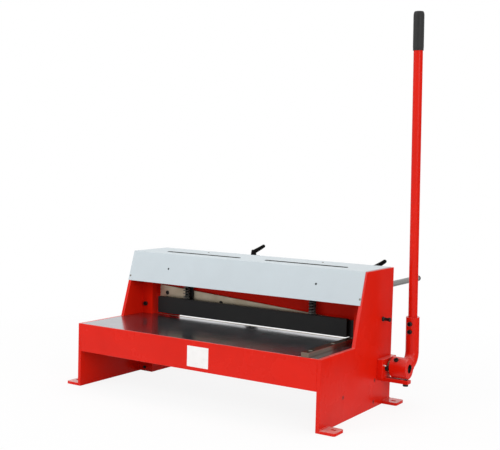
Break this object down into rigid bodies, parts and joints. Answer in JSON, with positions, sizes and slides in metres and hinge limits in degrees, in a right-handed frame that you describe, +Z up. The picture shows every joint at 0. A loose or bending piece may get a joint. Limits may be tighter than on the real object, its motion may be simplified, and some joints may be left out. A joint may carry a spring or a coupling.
{
  "type": "guillotine shear",
  "caption": "Hand-lever guillotine shear for sheet metal: stepped plate frame, table with side fence, hood, raked blade, sprung hold-down and rods with sliding back stops.",
  "frame": {"origin": "on the floor, at the centre of the four slots in the feet", "axes": "+X to the right seen from the front, +Y to the rear, +Z up"},
  "size_m": [1.374, 1.3888, 1.6144],
  "materials": {
    "red_paint": "smooth red machine enamel, slightly glossy",
    "cover_paint": "pale blue-grey powder coat, satin",
    "table_steel": "ground and oiled dark steel, mirror-like at low angles",
    "ground_steel": "ground tool steel with a dull film of oil",
    "black_steel": "black oxide or black satin paint",
    "fence_steel": "drawn bright steel bar",
    "bright_steel": "polished round bar",
    "spring_steel": "plain spring wire",
    "bronze": "sintered bronze",
    "zinc": "bright zinc plate",
    "grip_rubber": "black moulded grip",
    "cap_plastic": "black moulded plastic",
    "label_white": "plain white plate with nothing on it"
  },
  "bodies": {
    "frame": {"side_plate_left": "red_paint", "side_plate_right": "red_paint", "apron": "red_paint", "table_plate": "table_steel", "table_beam": "red_paint", "rear_tie": "red_paint", "top_tie": "red_paint", "front_feet": "red_paint", "rear_feet": "red_paint", "lower_blade": "ground_steel", "lower_blade_screws": "black_steel", "guide_column_left": "red_paint", "guide_column_right": "red_paint", "guide_keepers": "red_paint", "gib_strips": "red_paint", "keeper_bolts": "black_steel", "countersunk_screws": "red_paint", "cover": "cover_paint", "cover_screws": "zinc", "cover_plugs": "cap_plastic", "slot_edging": "cap_plastic", "rear_flanges": "red_paint", "label_plate": "label_white", "bearing_block_left": "red_paint", "bearing_block_right": "red_paint", "bearing_bushes": "bronze", "cap_screws": "black_steel", "grease_nipples": "zinc", "stop_bar": "red_paint", "side_stud": "black_steel", "side_fence": "fence_steel"},
    "lever": {"drive_shaft": "bright_steel", "crank_left": "ground_steel", "crank_right": "ground_steel", "crank_pins": "ground_steel", "shaft_collar": "black_steel", "lever_arm": "red_paint", "lever_screws": "black_steel", "handle_tube": "red_paint", "handle_grip": "grip_rubber"},
    "ram": {"ram_beam": "red_paint", "upper_blade": "ground_steel", "upper_blade_screws": "black_steel", "yoke_left": "ground_steel", "yoke_right": "ground_steel", "spring_bracket_left": "black_steel", "spring_bracket_right": "black_steel", "spring_left": "spring_steel", "spring_right": "spring_steel", "gauge_rod_left": "bright_steel", "gauge_rod_right": "bright_steel", "rod_caps": "cap_plastic"},
    "hold_down": {"hold_down_bar": "black_steel", "hold_down_guides": "black_steel", "hold_down_lugs": "black_steel", "spring_bolts": "black_steel"},
    "stop_left": {"back_stop_left": "black_steel"},
    "stop_right": {"back_stop_right": "black_steel"},
    "clamp_left": {"clamp_lever_left": "cap_plastic"},
    "clamp_right": {"clamp_lever_right": "cap_plastic"}
  },
  "joints": [
    {"name": "lever_swing", "type": "hinge", "parent": "frame", "child": "lever", "pos_m": [0, 0.248, 0.16], "axis": [1, 0, 0], "range_deg": [0, 85]},
    {"name": "ram_slide", "type": "slide", "parent": "frame", "child": "ram", "axis": [0, 0, -1], "range_m": [0, 0.0822], "deforming": ["spring_left", "spring_right"]},
    {"name": "hold_down_slide", "type": "slide", "parent": "frame", "child": "hold_down", "axis": [0, 0, -1], "range_m": [0, 0.0097]},
    {"name": "back_stop_left_slide", "type": "slide", "parent": "ram", "child": "stop_left", "axis": [0, 1, 0], "range_m": [-0.39, 0.23]},
    {"name": "back_stop_right_slide", "type": "slide", "parent": "ram", "child": "stop_right", "axis": [0, 1, 0], "range_m": [-0.147, 0.473]},
    {"name": "clamp_lever_left_turn", "type": "hinge", "parent": "stop_left", "child": "clamp_left", "pos_m": [-0.4, 0.783, 0.529], "axis": [0, 0, 1], "range_deg": [0, 90]},
    {"name": "clamp_lever_right_turn", "type": "hinge", "parent": "stop_right", "child": "clamp_right", "pos_m": [0.4, 0.54, 0.529], "axis": [0, 0, 1], "range_deg": [0, 90]}
  ],
  "couplings": [
    {"joint": "ram_slide", "follows": "lever_swing", "m_per_rad": 0.055274},
    {"joint": "hold_down_slide", "follows": "lever_swing", "m_per_rad": 0.006471}
  ]
}
